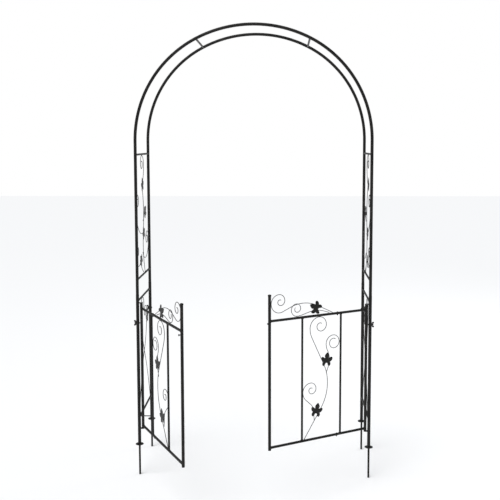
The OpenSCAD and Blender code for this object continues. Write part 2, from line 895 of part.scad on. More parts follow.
gate_vine(-1);  // left_gate_vine
gate_crest(-1);  // left_gate_crest
gate_leaves(-1);  // left_gate_leaves
rail_bolts(-1);  // left_rail_bolts
latch_stud(-1);  // left_latch_stud
gate_hinge_post(1);  // right_hinge_post
meeting_post(1);  // right_meeting_post
post_cap(1);  // right_post_cap
gate_rail(1, rail_high_h);  // right_top_rail
gate_rail(1, rail_low_h);  // right_bottom_rail
rail_stubs(1);  // right_rail_stubs
gate_bars(1);  // right_gate_bars
gate_vine(1);  // right_gate_vine
gate_crest(1);  // right_gate_crest
gate_leaves(1);  // right_gate_leaves
rail_bolts(1);  // right_rail_bolts
latch_stud(1);  // right_latch_stud
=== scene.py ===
import json
import math
from math import cos, pi, radians, sin

import bmesh
import bpy
from mathutils import Matrix, Vector, noise


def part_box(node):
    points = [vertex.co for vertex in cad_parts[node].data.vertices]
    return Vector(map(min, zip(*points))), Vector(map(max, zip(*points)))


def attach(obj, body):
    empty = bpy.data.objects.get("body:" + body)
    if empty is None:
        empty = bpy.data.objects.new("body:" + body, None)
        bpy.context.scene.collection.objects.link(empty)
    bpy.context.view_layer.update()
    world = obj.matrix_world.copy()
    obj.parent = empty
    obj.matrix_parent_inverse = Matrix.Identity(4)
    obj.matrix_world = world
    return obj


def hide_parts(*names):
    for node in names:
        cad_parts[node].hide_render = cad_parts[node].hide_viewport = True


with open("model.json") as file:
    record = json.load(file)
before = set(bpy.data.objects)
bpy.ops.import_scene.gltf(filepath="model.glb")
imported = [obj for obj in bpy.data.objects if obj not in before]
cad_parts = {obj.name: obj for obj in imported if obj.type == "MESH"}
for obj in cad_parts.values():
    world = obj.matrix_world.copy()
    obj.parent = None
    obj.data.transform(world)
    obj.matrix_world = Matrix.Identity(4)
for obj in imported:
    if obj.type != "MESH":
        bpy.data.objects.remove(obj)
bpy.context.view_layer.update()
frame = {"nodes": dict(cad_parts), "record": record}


# ---- Camera, floor and light ----
# A standing eye-level view a little to the right of the passage, with a short lens shift to keep the
# posts upright; a pale floor at the stakes' tips and plain soft studio light.
camera_data = bpy.data.cameras.new("camera")
camera_data.lens = 56.9
camera_data.sensor_width = 36
camera_data.shift_y = -0.075
camera = bpy.data.objects.new("camera", camera_data)
bpy.context.scene.collection.objects.link(camera)
camera.location = (0.150, -4.026, 1.524)
camera.rotation_euler = (radians(90 - 5.19), radians(0.14), radians(2.44))
bpy.context.scene.camera = camera

FLOOR_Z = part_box("stake_front_left")[0].z
floor_mesh = bpy.data.meshes.new("floor")
floor_bm = bmesh.new()
bmesh.ops.create_grid(floor_bm, x_segments=1, y_segments=1, size=20)
bmesh.ops.translate(floor_bm, verts=floor_bm.verts, vec=(0, 0, FLOOR_Z))
floor_bm.to_mesh(floor_mesh)
floor_bm.free()
floor = bpy.data.objects.new("floor", floor_mesh)
bpy.context.scene.collection.objects.link(floor)
floor_paint = bpy.data.materials.new("studio_floor")
floor_paint.use_nodes = True
floor_shader = floor_paint.node_tree.nodes["Principled BSDF"]
floor_shader.inputs["Base Color"].default_value = (0.93, 0.93, 0.93, 1)
floor_shader.inputs["Roughness"].default_value = 0.9
floor_shader.inputs["Specular IOR Level"].default_value = 0
floor.data.materials.append(floor_paint)

world = bpy.data.worlds.new("studio")
bpy.context.scene.world = world
world.use_nodes = True
world_tree = world.node_tree
backdrop = world_tree.nodes["Background"]
backdrop.inputs["Color"].default_value = (1, 1, 1, 1)
backdrop.inputs["Strength"].default_value = 1.0
room = world_tree.nodes.new("ShaderNodeBackground")
room.inputs["Color"].default_value = (0.95, 0.97, 1.0, 1)
room.inputs["Strength"].default_value = 0.5
seen = world_tree.nodes.new("ShaderNodeLightPath")
either = world_tree.nodes.new("ShaderNodeMixShader")
world_tree.links.new(seen.outputs["Is Camera Ray"], either.inputs["Fac"])
world_tree.links.new(room.outputs["Background"], either.inputs[1])
world_tree.links.new(backdrop.outputs["Background"], either.inputs[2])
world_tree.links.new(either.outputs["Shader"], world_tree.nodes["World Output"].inputs["Surface"])
bpy.context.scene.view_settings.view_transform = "Standard"

sun_data = bpy.data.lights.new("key_light", "SUN")
sun_data.energy = 2.05
sun_data.angle = radians(50)
sun = bpy.data.objects.new("key_light", sun_data)
bpy.context.scene.collection.objects.link(sun)
sun.rotation_euler = (Vector((0.5, 0.55, -1.0))).to_track_quat("-Z", "Y").to_euler()

for name, place, aim, size, power in (
        ("top_light", (-0.4, -0.6, 5.0), (0, 0, 0), 3.0, 14),
        ("rim_light", (3.6, 2.2, 3.0), (0, 0, 1.0), 1.6, 30)):
    lamp_data = bpy.data.lights.new(name, "AREA")
    lamp_data.size = size
    lamp_data.energy = power
    lamp = bpy.data.objects.new(name, lamp_data)
    bpy.context.scene.collection.objects.link(lamp)
    lamp.location = place
    lamp.rotation_euler = (Vector(aim) - Vector(place)).to_track_quat("-Z", "Y").to_euler()


# ---- Arch tubes: four lower posts, four upper posts, four half arcs ----
# Welded steel tube under a satin black powder coat with a fine orange peel. The coat is a shade lighter
# where it is thick, and holds a little pale dust. The tubes telescope into each other.
nodes = frame["nodes"]
SIDES = (("left", -1), ("right", 1))
ENDS = (("front", -1), ("rear", 1))
COAT_DARK = (0.0050, 0.0047, 0.0042, 1)
COAT_LIGHT = (0.0140, 0.0130, 0.0115, 1)
DUST = (0.16, 0.15, 0.14, 1)


def powder_coat(name, roughness, peel_scale, peel_height, dust_share, coat=0.0):
    """Black powder coat: mottled colour, dusty specks, uneven gloss and an orange-peel bump."""
    material = bpy.data.materials.new(name)
    material.use_nodes = True
    tree = material.node_tree
    shader = tree.nodes["Principled BSDF"]
    shader.inputs["Specular IOR Level"].default_value = 0.2
    shader.inputs["Coat Weight"].default_value = coat
    shader.inputs["Coat Roughness"].default_value = 0.2
    place = tree.nodes.new("ShaderNodeTexCoord")

    def noise_of(scale, detail):
        texture = tree.nodes.new("ShaderNodeTexNoise")
        texture.inputs["Scale"].default_value = scale
        texture.inputs["Detail"].default_value = detail
        tree.links.new(place.outputs["Object"], texture.inputs["Vector"])
        return texture.outputs["Fac"]

    def ramp_of(value, low, high, low_colour, high_colour):
        ramp = tree.nodes.new("ShaderNodeValToRGB")
        ramp.color_ramp.elements[0].position = low
        ramp.color_ramp.elements[1].position = high
        ramp.color_ramp.elements[0].color = low_colour
        ramp.color_ramp.elements[1].color = high_colour
        tree.links.new(value, ramp.inputs["Fac"])
        return ramp.outputs["Color"]

    mottle = ramp_of(noise_of(14, 4), 0.35, 0.7, COAT_DARK, COAT_LIGHT)
    specks = ramp_of(noise_of(420, 5), 0.62, 0.74, (0, 0, 0, 1), (dust_share, dust_share, dust_share, 1))
    mix = tree.nodes.new("ShaderNodeMix")
    mix.data_type = "RGBA"
    tree.links.new(specks, mix.inputs["Factor"])
    tree.links.new(mottle, mix.inputs["A"])
    mix.inputs["B"].default_value = DUST
    tree.links.new(mix.outputs["Result"], shader.inputs["Base Color"])

    gloss = tree.nodes.new("ShaderNodeMapRange")
    gloss.inputs["To Min"].default_value = roughness - 0.07
    gloss.inputs["To Max"].default_value = roughness + 0.10
    tree.links.new(noise_of(60, 3), gloss.inputs["Value"])
    tree.links.new(gloss.outputs["Result"], shader.inputs["Roughness"])

    bump = tree.nodes.new("ShaderNodeBump")
    bump.inputs["Strength"].default_value = 0.35
    bump.inputs["Distance"].default_value = peel_height
    tree.links.new(noise_of(peel_scale, 2), bump.inputs["Height"])
    tree.links.new(bump.outputs["Normal"], shader.inputs["Normal"])
    return material


def coat_node(name, material):
    """Gives a CAD node its finish."""
    nodes[name].data.materials.clear()
    nodes[name].data.materials.append(material)


tube_coat = powder_coat("tube_powder_coat", 0.42, 700, 0.00025, 0.16)
for end, _ in ENDS:
    for side, _ in SIDES:
        coat_node(f"lower_post_{end}_{side}", tube_coat)
        coat_node(f"upper_post_{end}_{side}", tube_coat)
        coat_node(f"arc_{end}_{side}", tube_coat)
coat_node("crown_sleeves", tube_coat)

POST_X = (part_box("lower_post_front_right")[0].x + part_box("lower_post_front_right")[1].x) / 2
POST_Y = (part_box("lower_post_rear_right")[0].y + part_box("lower_post_rear_right")[1].y) / 2
LOWER_POST_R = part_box("lower_post_front_right")[1].x - POST_X
UPPER_POST_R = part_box("upper_post_front_right")[1].x - POST_X


# ---- Rungs: two across the crown, four on each side, welded between the hoops ----
# 10 mm round bar under the same coat, rougher where the weld spatter is coated over. Each end has a
# fillet weld that follows the saddle where the bar meets the round post.
rung_coat = powder_coat("rung_powder_coat", 0.44, 620, 0.00030, 0.22)
weld_coat = powder_coat("weld_powder_coat", 0.46, 380, 0.00060, 0.30)
for name in ("crown_rung_left", "crown_rung_right", "lower_rungs_left", "lower_rungs_right",
             "upper_rungs_left", "upper_rungs_right"):
    coat_node(name, rung_coat)

SMOOTH_ANGLE = radians(38)
MERGE = 0.00001


def finish_piece(name, bm, body, material, replaced=()):
    """Closes a mesh, shades it, and sets it on its body with its finish."""
    bmesh.ops.remove_doubles(bm, verts=bm.verts, dist=MERGE)
    bmesh.ops.recalc_face_normals(bm, faces=bm.faces)
    mesh = bpy.data.meshes.new(name)
    bm.to_mesh(mesh)
    bm.free()
    mesh.shade_smooth()
    mesh.set_sharp_from_angle(angle=SMOOTH_ANGLE)
    mesh.materials.append(material)
    piece = bpy.data.objects.new(name, mesh)
    bpy.context.scene.collection.objects.link(piece)
    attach(piece, body)
    for node in replaced:
        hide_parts(node)


def spun(bm, profile, matrix, steps=24):
    """Turns a profile of (radius, height) points round the Z axis, then sets it in place."""
    before = set(bm.verts)
    points = [bm.verts.new((radius, 0, height)) for radius, height in profile]
    edges = [bm.edges.new(pair) for pair in zip(points, points[1:])]
    bmesh.ops.spin(bm, geom=points + edges, cent=(0, 0, 0), axis=(0, 0, 1), dvec=(0, 0, 0),
                   angle=2 * pi, steps=steps, space=Matrix.Identity(4), use_merge=True,
                   use_normal_flip=False, use_duplicate=False)
    bmesh.ops.transform(bm, matrix=matrix, verts=[vert for vert in bm.verts if vert not in before])


def pointing(place, direction):
    """A frame at a place whose Z axis points along a direction."""
    turn = Vector(direction).to_track_quat("Z", "Y").to_matrix().to_4x4()
    return Matrix.Translation(place) @ turn


WELD_R = 0.0016
WELD_RING = [(WELD_R * cos(pi * k / 4), WELD_R * sin(pi * k / 4)) for k in range(9)]
WELD_GAP = 0.0004
WELD_LIFT = 0.0006
WELD_LUMP = 0.0005
CROWN_SLOPE = radians(27)


def saddle_weld(bm, place, direction, bar_r, post_r, post_axis):
    """A fillet round a bar's end where it meets a post: place is on the post's axis."""
    ring = [(bar_r + WELD_GAP + out, up) for out, up in WELD_RING]
    before = set(bm.verts)
    spun(bm, ring, Matrix.Identity(4), 20)
    along = pointing(place, direction)
    across = along.inverted().to_3x3() @ Vector(post_axis)
    for vert in (v for v in bm.verts if v not in before):
        side_way = Vector((vert.co.x, vert.co.y, 0))
        off = side_way.cross(across).length
        depth = math.sqrt(max(post_r * post_r - off * off, 0))
        lump = noise.noise((Vector(place) + vert.co) * 400) * WELD_LUMP
        vert.co.z += depth + WELD_LIFT + lump
        vert.co = along @ vert.co


def blob_weld(bm, place, radius):
    """A small tack of weld, a little uneven."""
    lump = Matrix.Translation(place) @ Matrix.Diagonal((radius, radius, radius * 0.8, 1))
    made = bmesh.ops.create_icosphere(bm, subdivisions=2, radius=1, matrix=lump)
    for vert in made["verts"]:
        vert.co += (vert.co - Vector(place)) * noise.noise(vert.co * 500) * 0.35


def rung_heights(node):
    """The radius and the two heights of a side's rungs, from the CAD node's box."""
    low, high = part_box(node)
    bar_r = (high.x - low.x) / 2
    return bar_r, (low.z + bar_r, high.z - bar_r)


welds = bmesh.new()
for side, sx in SIDES:
    for node, post_r in ((f"lower_rungs_{side}", LOWER_POST_R), (f"upper_rungs_{side}", UPPER_POST_R)):
        bar_r, heights = rung_heights(node)
        for height in heights:
            for _, sy in ENDS:
                saddle_weld(welds, (sx * POST_X, sy * POST_Y, height), (0, -sy, 0), bar_r, post_r, (0, 0, 1))
    low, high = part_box(f"crown_rung_{side}")
    centre = (low + high) / 2
    for _, sy in ENDS:
        saddle_weld(welds, (centre.x, sy * POST_Y, centre.z), (0, -sy, 0), (high.x - low.x) / 2,
                    UPPER_POST_R, (cos(CROWN_SLOPE), 0, -sx * sin(CROWN_SLOPE)))
finish_piece("rung_welds", welds, "arch", weld_coat)


# ---- Ground discs and stakes ----
# Each foot has a 2 mm pressed disc that stops the 10 mm stake at ground level; the stake goes on into
# the soil. A weld ring joins the disc to the post above it. The coat here is scuffed and dusty.
stake_coat = powder_coat("stake_powder_coat", 0.44, 560, 0.00035, 0.7)
for end, _ in ENDS:
    for side, _ in SIDES:
        coat_node(f"stake_{end}_{side}", stake_coat)
coat_node("ground_discs", stake_coat)
DISC_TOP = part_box("ground_discs")[1].z
FOOT_GAP = 0.0002
foot_welds = bmesh.new()
for _, sx in SIDES:
    for _, sy in ENDS:
        ring = [(LOWER_POST_R + FOOT_GAP + out, up) for out, up in WELD_RING]
        spun(foot_welds, ring, Matrix.Translation((sx * POST_X, sy * POST_Y, DISC_TOP + WELD_GAP)), 32)
finish_piece("foot_welds", foot_welds, "arch", weld_coat)


# ---- Post bolts and wing nuts ----
# M5 bolts through the telescoped posts, heads inside the passage, with pressed wing nuts outside that
# are turned by hand. Black zinc, smoother than the powder coat. The nut's two ears are rounded plates.
hardware_finish = powder_coat("black_zinc", 0.30, 900, 0.00012, 0.15, coat=0.3)
coat_node("post_bolts", hardware_finish)
BOLT_H = (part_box("wing_nuts")[0].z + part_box("wing_nuts")[1].z) / 2
NUT_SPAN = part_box("wing_nuts")[1].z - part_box("wing_nuts")[0].z
NUT_FACE = POST_X + LOWER_POST_R + 0.0002
HUB = [(0.0026, 0), (0.0049, 0), (0.0052, 0.0006), (0.0044, 0.0052), (0.0038, 0.0058), (0.0026, 0.0058)]
EAR_R = 0.0062
EAR_PLATE = 0.0018
EAR_LIFT = 0.0056
EAR_TILT = radians(32)


def only(kind, geometry):
    """The vertices, or the edges, among what an operator made."""
    return [part for part in geometry if isinstance(part, kind)]


def join_in(whole, part):
    """Adds a finished part to a larger mesh."""
    mesh = bpy.data.meshes.new("part")
    part.to_mesh(mesh)
    part.free()
    whole.from_mesh(mesh)
    bpy.data.meshes.remove(mesh)


nuts = bmesh.new()
for _, sx in SIDES:
    for _, sy in ENDS:
        base = pointing((sx * NUT_FACE, sy * POST_Y, BOLT_H), (sx, 0, 0))
        spun(nuts, HUB + HUB[:1], base, 24)
        for ear in (-1, 1):
            plate = bmesh.new()
            bmesh.ops.create_circle(plate, cap_ends=True, segments=24, radius=EAR_R)
            bmesh.ops.scale(plate, verts=plate.verts, vec=(0.78, 1.05, 1))
            for vert in plate.verts:
                vert.co.x *= 1 - 0.25 * max(0, -vert.co.y) / EAR_R
            grown = bmesh.ops.extrude_face_region(plate, geom=plate.faces[:])["geom"]
            bmesh.ops.translate(plate, verts=only(bmesh.types.BMVert, grown), vec=(0, 0, EAR_PLATE))
            bmesh.ops.bevel(plate, geom=plate.edges[:], offset=0.0005, segments=2, profile=0.5, material=-1,
                            affect="EDGES")
            tilt = Matrix.Rotation(-EAR_TILT * ear, 4, "Z")
            lift = Matrix.Translation((ear * (NUT_SPAN / 2 - EAR_R), 0, EAR_LIFT))
            stand = Matrix.Rotation(radians(90), 4, "X") @ Matrix.Translation((0, 0, -EAR_PLATE / 2))
            upright = Matrix.Rotation(radians(90), 4, "Z")
            bmesh.ops.transform(plate, matrix=base @ upright @ lift @ stand @ tilt, verts=plate.verts)
            join_in(nuts, plate)
finish_piece("wing_nut_set", nuts, "arch", hardware_finish, ["wing_nuts"])


# ---- Side panel vines: bent wires between each pair of posts ----
# 3 mm wire bent cold on a former: curls whose radius shrinks at each quarter turn, and long waving
# stems. Tacked to the posts and rungs where it touches them. Coated a little glossier than the tubes.
wire_coat = powder_coat("wire_powder_coat", 0.44, 900, 0.00018, 0.14)
WIRE_R = 0.0015
SEAT = 0.00015
PLANE_STEP = -(2 * WIRE_R + 0.0003)
LEAF_STOP = Vector((0, 0.004))


def bend_end(p, heading, bend):
    """Where a bend ends: (length, 0) is a straight, (radius, turn) an arc with left turns positive."""
    size, turn = bend
    if turn == 0:
        return p + size * Vector((cos(heading), sin(heading)))
    way = 1 if turn > 0 else -1
    return p + way * size * Vector((sin(heading + turn) - sin(heading), cos(heading) - cos(heading + turn)))


def run_end(p, heading, bends):
    """Place and heading at the end of a run of bends."""
    for bend in bends:
        p = bend_end(p, heading, bend)
        heading += bend[1]
    return p, heading


def scroll(radius, shrink, quarters, way=1):
    """Quarter turns whose radius shrinks by the same ratio, then a last short hook."""
    turns = [(radius * shrink ** i, way * pi / 2) for i in range(quarters)]
    return turns + [(radius * shrink ** quarters, way * radians(40))]


def chord_angle(a, b):
    """The heading from a to b."""
    return math.atan2(b.y - a.y, b.x - a.x)


def arc_between(a, b, turn):
    """The heading and the bend of the arc from a to b that turns by a given angle."""
    return chord_angle(a, b) - turn / 2, ((b - a).length / (2 * sin(abs(turn) / 2)), turn)


def bend_to(p, heading, target):
    """The arc that leaves p with a given heading and ends at the target."""
    turn = 2 * math.remainder(chord_angle(p, target) - heading, 2 * pi)
    return arc_between(p, target, turn)[1]


WIRE_FLAT = 0.00005


def smallest_turn(size):
    """The step that keeps a bend's flats within a twentieth of a millimetre."""
    return 2 * math.acos(1 - WIRE_FLAT / size)


WIRE_SIDES = 12
TIP_RINGS = ((0.86, 0.5), (0.5, 0.86))


def bent_wire(bm, place, heading, bends, matrix):
    """A circle taken round each bend in turn, in the local XY plane, with a rounded tip at the far end."""
    start = Matrix.Translation((place.x, place.y, 0)) @ Matrix.Rotation(heading, 4, "Z")
    made = bmesh.ops.create_circle(bm, cap_ends=False, segments=WIRE_SIDES, radius=WIRE_R,
                                   matrix=matrix @ start @ Matrix.Rotation(pi / 2, 4, "Y"))
    verts = made["verts"]
    edges = list({edge for vert in verts for edge in vert.link_edges})
    p = place.copy()
    for bend in bends:
        size, turn = bend
        if turn == 0:
            end = bmesh.ops.extrude_edge_only(bm, edges=edges)["geom"]
            step = bend_end(p, heading, bend) - p
            bmesh.ops.translate(bm, verts=only(bmesh.types.BMVert, end),
                                vec=matrix.to_3x3() @ Vector((step.x, step.y, 0)))
        else:
            way = 1 if turn > 0 else -1
            centre = p + way * size * Vector((-sin(heading), cos(heading)))
            end = bmesh.ops.spin(bm, geom=verts + edges, cent=matrix @ Vector((centre.x, centre.y, 0)),
                                 axis=matrix.to_3x3() @ Vector((0, 0, 1)), dvec=(0, 0, 0),
                                 angle=turn * (1 if matrix.determinant() > 0 else -1),
                                 steps=max(2, math.ceil(abs(turn) / smallest_turn(size))), use_merge=False,
                                 use_normal_flip=False, use_duplicate=False)["geom_last"]
        verts = only(bmesh.types.BMVert, end)
        edges = only(bmesh.types.BMEdge, end)
        p = bend_end(p, heading, bend)
        heading += turn
    tip = Vector((cos(heading), sin(heading), 0))
    for share, ahead in TIP_RINGS:
        end = bmesh.ops.extrude_edge_only(bm, edges=edges)["geom"]
        verts = only(bmesh.types.BMVert, end)
        edges = only(bmesh.types.BMEdge, end)
        centre = matrix @ (Vector((p.x, p.y, 0)) + tip * WIRE_R * ahead)
        middle = sum((v.co for v in verts), Vector()) / len(verts)
        ring_r = (verts[0].co - middle).length
        for vert in verts:
            vert.co = centre + (vert.co - middle) * (share * WIRE_R / ring_r)
    bmesh.ops.contextual_create(bm, geom=edges)


def curled_wire(bm, place, curl, tail, matrix):
    """A wire that passes upright through a place: a curl above it and a tail below it."""
    bent_wire(bm, place, pi / 2, curl, matrix)
    bent_wire(bm, place, -pi / 2, tail, matrix)


def side_frame(sx):
    """The panel's plane: local X from the front post to the rear post, local Y up."""
    turn = Matrix(((0, 0, 1, 0), (1, 0, 0, 0), (0, 1, 0, 0), (0, 0, 0, 1)))
    return Matrix.Translation((sx * POST_X, -POST_Y, 0)) @ turn


def in_plane(matrix, planes):
    """A panel's frame moved back by whole wires."""
    return matrix @ Matrix.Translation((0, 0, planes * PLANE_STEP))


ARCH_D = 2 * POST_Y
rung_r, (rung_1_h, rung_2_h) = rung_heights("lower_rungs_left")
_, (rung_3_h, rung_4_h) = rung_heights("upper_rungs_left")
TOUCH = rung_r + WIRE_R + SEAT
POST_TOUCH = UPPER_POST_R + WIRE_R + SEAT
upper_top = rung_4_h - TOUCH
upper_foot = rung_3_h + TOUCH
lower_top = rung_2_h - TOUCH
lower_foot = rung_1_h + TOUCH
upper_leaves = [Vector((ARCH_D / 2 - 0.015, upper_top - 0.150)),
                Vector((ARCH_D / 2 + 0.070, upper_top - 0.295)),
                Vector((ARCH_D / 2 + 0.005, upper_top - 0.400)),
                Vector((ARCH_D / 2 - 0.055, upper_foot + 0.072))]
lower_leaf = Vector((ARCH_D / 2 + 0.085, lower_top - 0.130))
leaf_1, leaf_2, leaf_3, leaf_4 = upper_leaves
stem_foot = Vector((ARCH_D / 2 + 0.045, upper_foot))
spur_foot = stem_foot - Vector((0.012, 0))
top = Vector((ARCH_D / 2 + 0.040, upper_top - 0.050))
front = Vector((POST_TOUCH, upper_top - 0.235))
rear = Vector((ARCH_D - POST_TOUCH, upper_top - 0.445))
foot = Vector((POST_TOUCH, upper_foot + 0.118))
LOWER_REACH = 0.142

for side, sx in SIDES:
    panel = side_frame(sx)
    behind = in_plane(panel, 1)
    upper = bmesh.new()
    curled_wire(upper, top, scroll(0.050, 0.76, 5), [bend_to(top, -pi / 2, leaf_1)], panel)
    for a, b, turn, plane in ((leaf_3 + LEAF_STOP, leaf_1 - LEAF_STOP, 50, panel),
                              (stem_foot, leaf_3 - LEAF_STOP, -46, panel),
                              (leaf_3 + Vector((0.015, 0.062)), leaf_2, 40, behind),
                              (spur_foot, leaf_4, -30, in_plane(panel, 2))):
        heading, bend = arc_between(a, b, radians(turn))
        bent_wire(upper, a, heading, [bend], plane)
    curled_wire(upper, front, scroll(0.042, 0.8, 5, -1), [bend_to(front, -pi / 2, leaf_3)], behind)
    curled_wire(upper, rear, scroll(0.042, 0.8, 5),
                [bend_to(rear, -pi / 2, leaf_3 - Vector((0, 0.1)))], behind)
    curled_wire(upper, foot, scroll(0.034, 0.78, 5, -1), [bend_to(foot, -pi / 2, leaf_4)], behind)
    finish_piece(f"upper_vine_wires_{side}", upper, "arch", wire_coat,
                 [f"upper_vine_{side}"])

    lower = bmesh.new()
    for way, drop, top_r, plane in ((-1, 0.045, 0.045, panel), (1, 0.100, 0.038, behind)):
        place = Vector((ARCH_D / 2 + way * 0.088, lower_top - drop))
        crossing = Vector((ARCH_D / 2 + way * 0.013, lower_foot + 0.296))
        wire_foot = Vector((ARCH_D / 2 - way * LOWER_REACH, lower_foot))
        first = bend_to(place, -pi / 2, crossing)
        second = bend_to(crossing, -pi / 2 + first[1], wire_foot)
        curled_wire(lower, place, scroll(top_r, 0.76, 5, way), [first, second], plane)
    finish_piece(f"lower_vine_wires_{side}", lower, "arch", wire_coat,
                 [f"lower_vine_{side}"])


# ---- Vine tacks: where each vine wire touches a post or a rung ----
# Single tacks of weld, coated over, a little larger than the wire and never quite round.
TACK_R = 0.0026
tacks = bmesh.new()
for side, sx in SIDES:
    for point in (front, foot):
        blob_weld(tacks, side_frame(sx) @ Vector((point.x - WIRE_R, point.y, PLANE_STEP)), TACK_R)
    blob_weld(tacks, side_frame(sx) @ Vector((rear.x + WIRE_R, rear.y, PLANE_STEP)), TACK_R)
    for u, height, plane in ((stem_foot.x, upper_foot, 0), (spur_foot.x, upper_foot, 2),
                             (ARCH_D / 2 - 0.010, upper_top, 0), (ARCH_D / 2 + LOWER_REACH, lower_foot, 0),
                             (ARCH_D / 2 - LOWER_REACH, lower_foot, 1), (ARCH_D / 2 - 0.043, lower_top, 0)):
        blob_weld(tacks, side_frame(sx) @ Vector((u, height, plane * PLANE_STEP)), TACK_R)
finish_piece("vine_tacks", tacks, "arch", weld_coat)


# ---- Gate leaves: hinge post, meeting post, rails with their stubs, and two upright bars ----
# 14 mm posts, 12 mm rails and 10 mm bars, welded flat to each other and coated. The rails are
# telescoped beside the bar nearer the hinge. The leaf hangs on lugs with upright pins.
HINGES = {joint["child"]: Vector(joint["pos_m"]) for joint in frame["record"]["behaviour"]["joints"]}
BAR_U = (0.150, 0.367)


def leaf_frame(side):
    """A leaf's own frame at rest: local X from the hinge to the meeting post, local Z up."""
    low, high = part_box(f"{side}_meeting_post")
    hinge = HINGES[f"{side}_gate"].copy()
    hinge.z = 0
    reach = (low + high) / 2 - hinge
    reach.z = 0
    flip = -1 if side == "right" else 1
    angle = math.atan2(reach.y, reach.x * flip)
    mirror = Matrix.Diagonal((flip, 1, 1, 1))
    place = Matrix.Translation((hinge.x * flip, hinge.y, 0)) @ Matrix.Rotation(angle, 4, "Z")
    return mirror @ place, reach.length


low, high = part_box("right_top_rail")
rail_high = (low.z + high.z) / 2
RAIL_R = (high.z - low.z) / 2
low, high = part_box("right_bottom_rail")
rail_low = (low.z + high.z) / 2
BAR_R = 0.005
GATE_POST_R = 0.007
for side, _ in SIDES:
    for part in ("hinge_post", "meeting_post", "top_rail", "bottom_rail", "rail_stubs", "gate_bars"):
        coat_node(f"{side}_{part}", tube_coat)
    coat_node(f"hinge_lugs_{side}", hardware_finish)
    hang, leaf_w = leaf_frame(side)
    turn = hang.to_3x3()
    gate_welds = bmesh.new()
    for rail in (rail_low, rail_high):
        for u in BAR_U:
            way = 1 if rail == rail_low else -1
            saddle_weld(gate_welds, hang @ Vector((u, 0, rail)), turn @ Vector((0, 0, way)), BAR_R, RAIL_R,
                        turn @ Vector((1, 0, 0)))
        for u, way in ((0, 1), (leaf_w, -1)):
            saddle_weld(gate_welds, hang @ Vector((u, 0, rail)), turn @ Vector((way, 0, 0)), RAIL_R,
                        GATE_POST_R, (0, 0, 1))
    finish_piece(f"{side}_gate_welds", gate_welds, f"{side}_gate", weld_coat)


# ---- Meeting post caps ----
# A domed steel cap with a rolled rim, driven into the top of each meeting post.
PLUG_R = 0.0056
CAP_RIM_H = 0.0042
for side, _ in SIDES:
    low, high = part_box(f"{side}_post_cap")
    post_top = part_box(f"{side}_meeting_post")[1].z
    rim_r = (high.x - low.x) / 2
    rise = high.z - post_top
    profile = [(0.0045, low.z - post_top), (PLUG_R, low.z - post_top + 0.001), (PLUG_R, 0.0002),
               (rim_r - 0.0006, 0.0002), (rim_r, 0.0008), (rim_r, 0.0036), (rim_r - 0.0004, CAP_RIM_H)]
    for k in range(1, 7):
        a = pi / 2 * k / 6
        profile.append(((rim_r - 0.0006) * cos(a), CAP_RIM_H + (rise - CAP_RIM_H) * sin(a)))
    profile[-1] = (0, rise)
    cap = bmesh.new()
    spun(cap, [(0, low.z - post_top)] + profile,
         Matrix.Translation(((low.x + high.x) / 2, (low.y + high.y) / 2, post_top)), 40)
    finish_piece(f"{side}_domed_cap", cap, f"{side}_gate", tube_coat, [f"{side}_post_cap"])


# ---- Rail bolts and latch studs ----
# M4 bolts with round heads and hex nuts through the telescoped rails, and a headed stud turned from
# bar on each meeting post. Black zinc.
RAIL_BOLT_U = 0.170
BOLT_R = 0.002
BOLT_TURNED = [(0, -0.0170), (0.0016, -0.0170), (BOLT_R, -0.0166), (BOLT_R, 0), (0.0032, 0),
               (0.0034, 0.0003), (0.0032, 0.0009), (0.0024, 0.0015), (0.0012, 0.00175), (0, 0.00178)]
HEX_R = 0.0038
HEX_H = 0.0028
for side, _ in SIDES:
    coat_node(f"{side}_latch_stud", hardware_finish)
    hang, _ = leaf_frame(side)
    bolts = bmesh.new()
    for rail in (rail_low, rail_high):
        seat_z = rail + RAIL_R + SEAT
        spun(bolts, BOLT_TURNED, hang @ Matrix.Translation((RAIL_BOLT_U, 0, seat_z)), 24)
        nut = bmesh.new()
        bmesh.ops.create_cone(nut, cap_ends=True, segments=6, radius1=HEX_R, radius2=HEX_R, depth=HEX_H)
        bmesh.ops.bevel(nut, geom=nut.edges[:], offset=0.00035, segments=2, profile=0.5, material=-1,
                        affect="EDGES")
        bmesh.ops.transform(nut, verts=nut.verts, matrix=hang @ Matrix.Translation(
            (RAIL_BOLT_U, 0, rail - RAIL_R - SEAT - HEX_H / 2)))
        join_in(bolts, nut)
    finish_piece(f"{side}_rail_bolt_set", bolts, f"{side}_gate", hardware_finish,
                 [f"{side}_rail_bolts"])


# ---- Gate vines and crests: bent wires between the bars and over the top rail ----
# The same wire and formers as the side panels. The branches cross behind the stem, and the ends are
# tacked to the rails and bars.
def run_to(p, heading, target, turn):
    """An arc of a given turn, then a straight that ends at the target."""
    way = 1 if turn > 0 else -1
    arc = way * Vector((sin(heading + turn) - sin(heading), cos(heading) - cos(heading + turn)))
    ahead = Vector((cos(heading + turn), sin(heading + turn)))
    reach = target - p
    area = arc.cross(ahead)
    return [(reach.cross(ahead) / area, turn), (arc.cross(reach) / area, 0)]


def bends(*pairs):
    """Bends given in millimetres and degrees."""
    return [(size / 1000, radians(turn)) for size, turn in pairs]


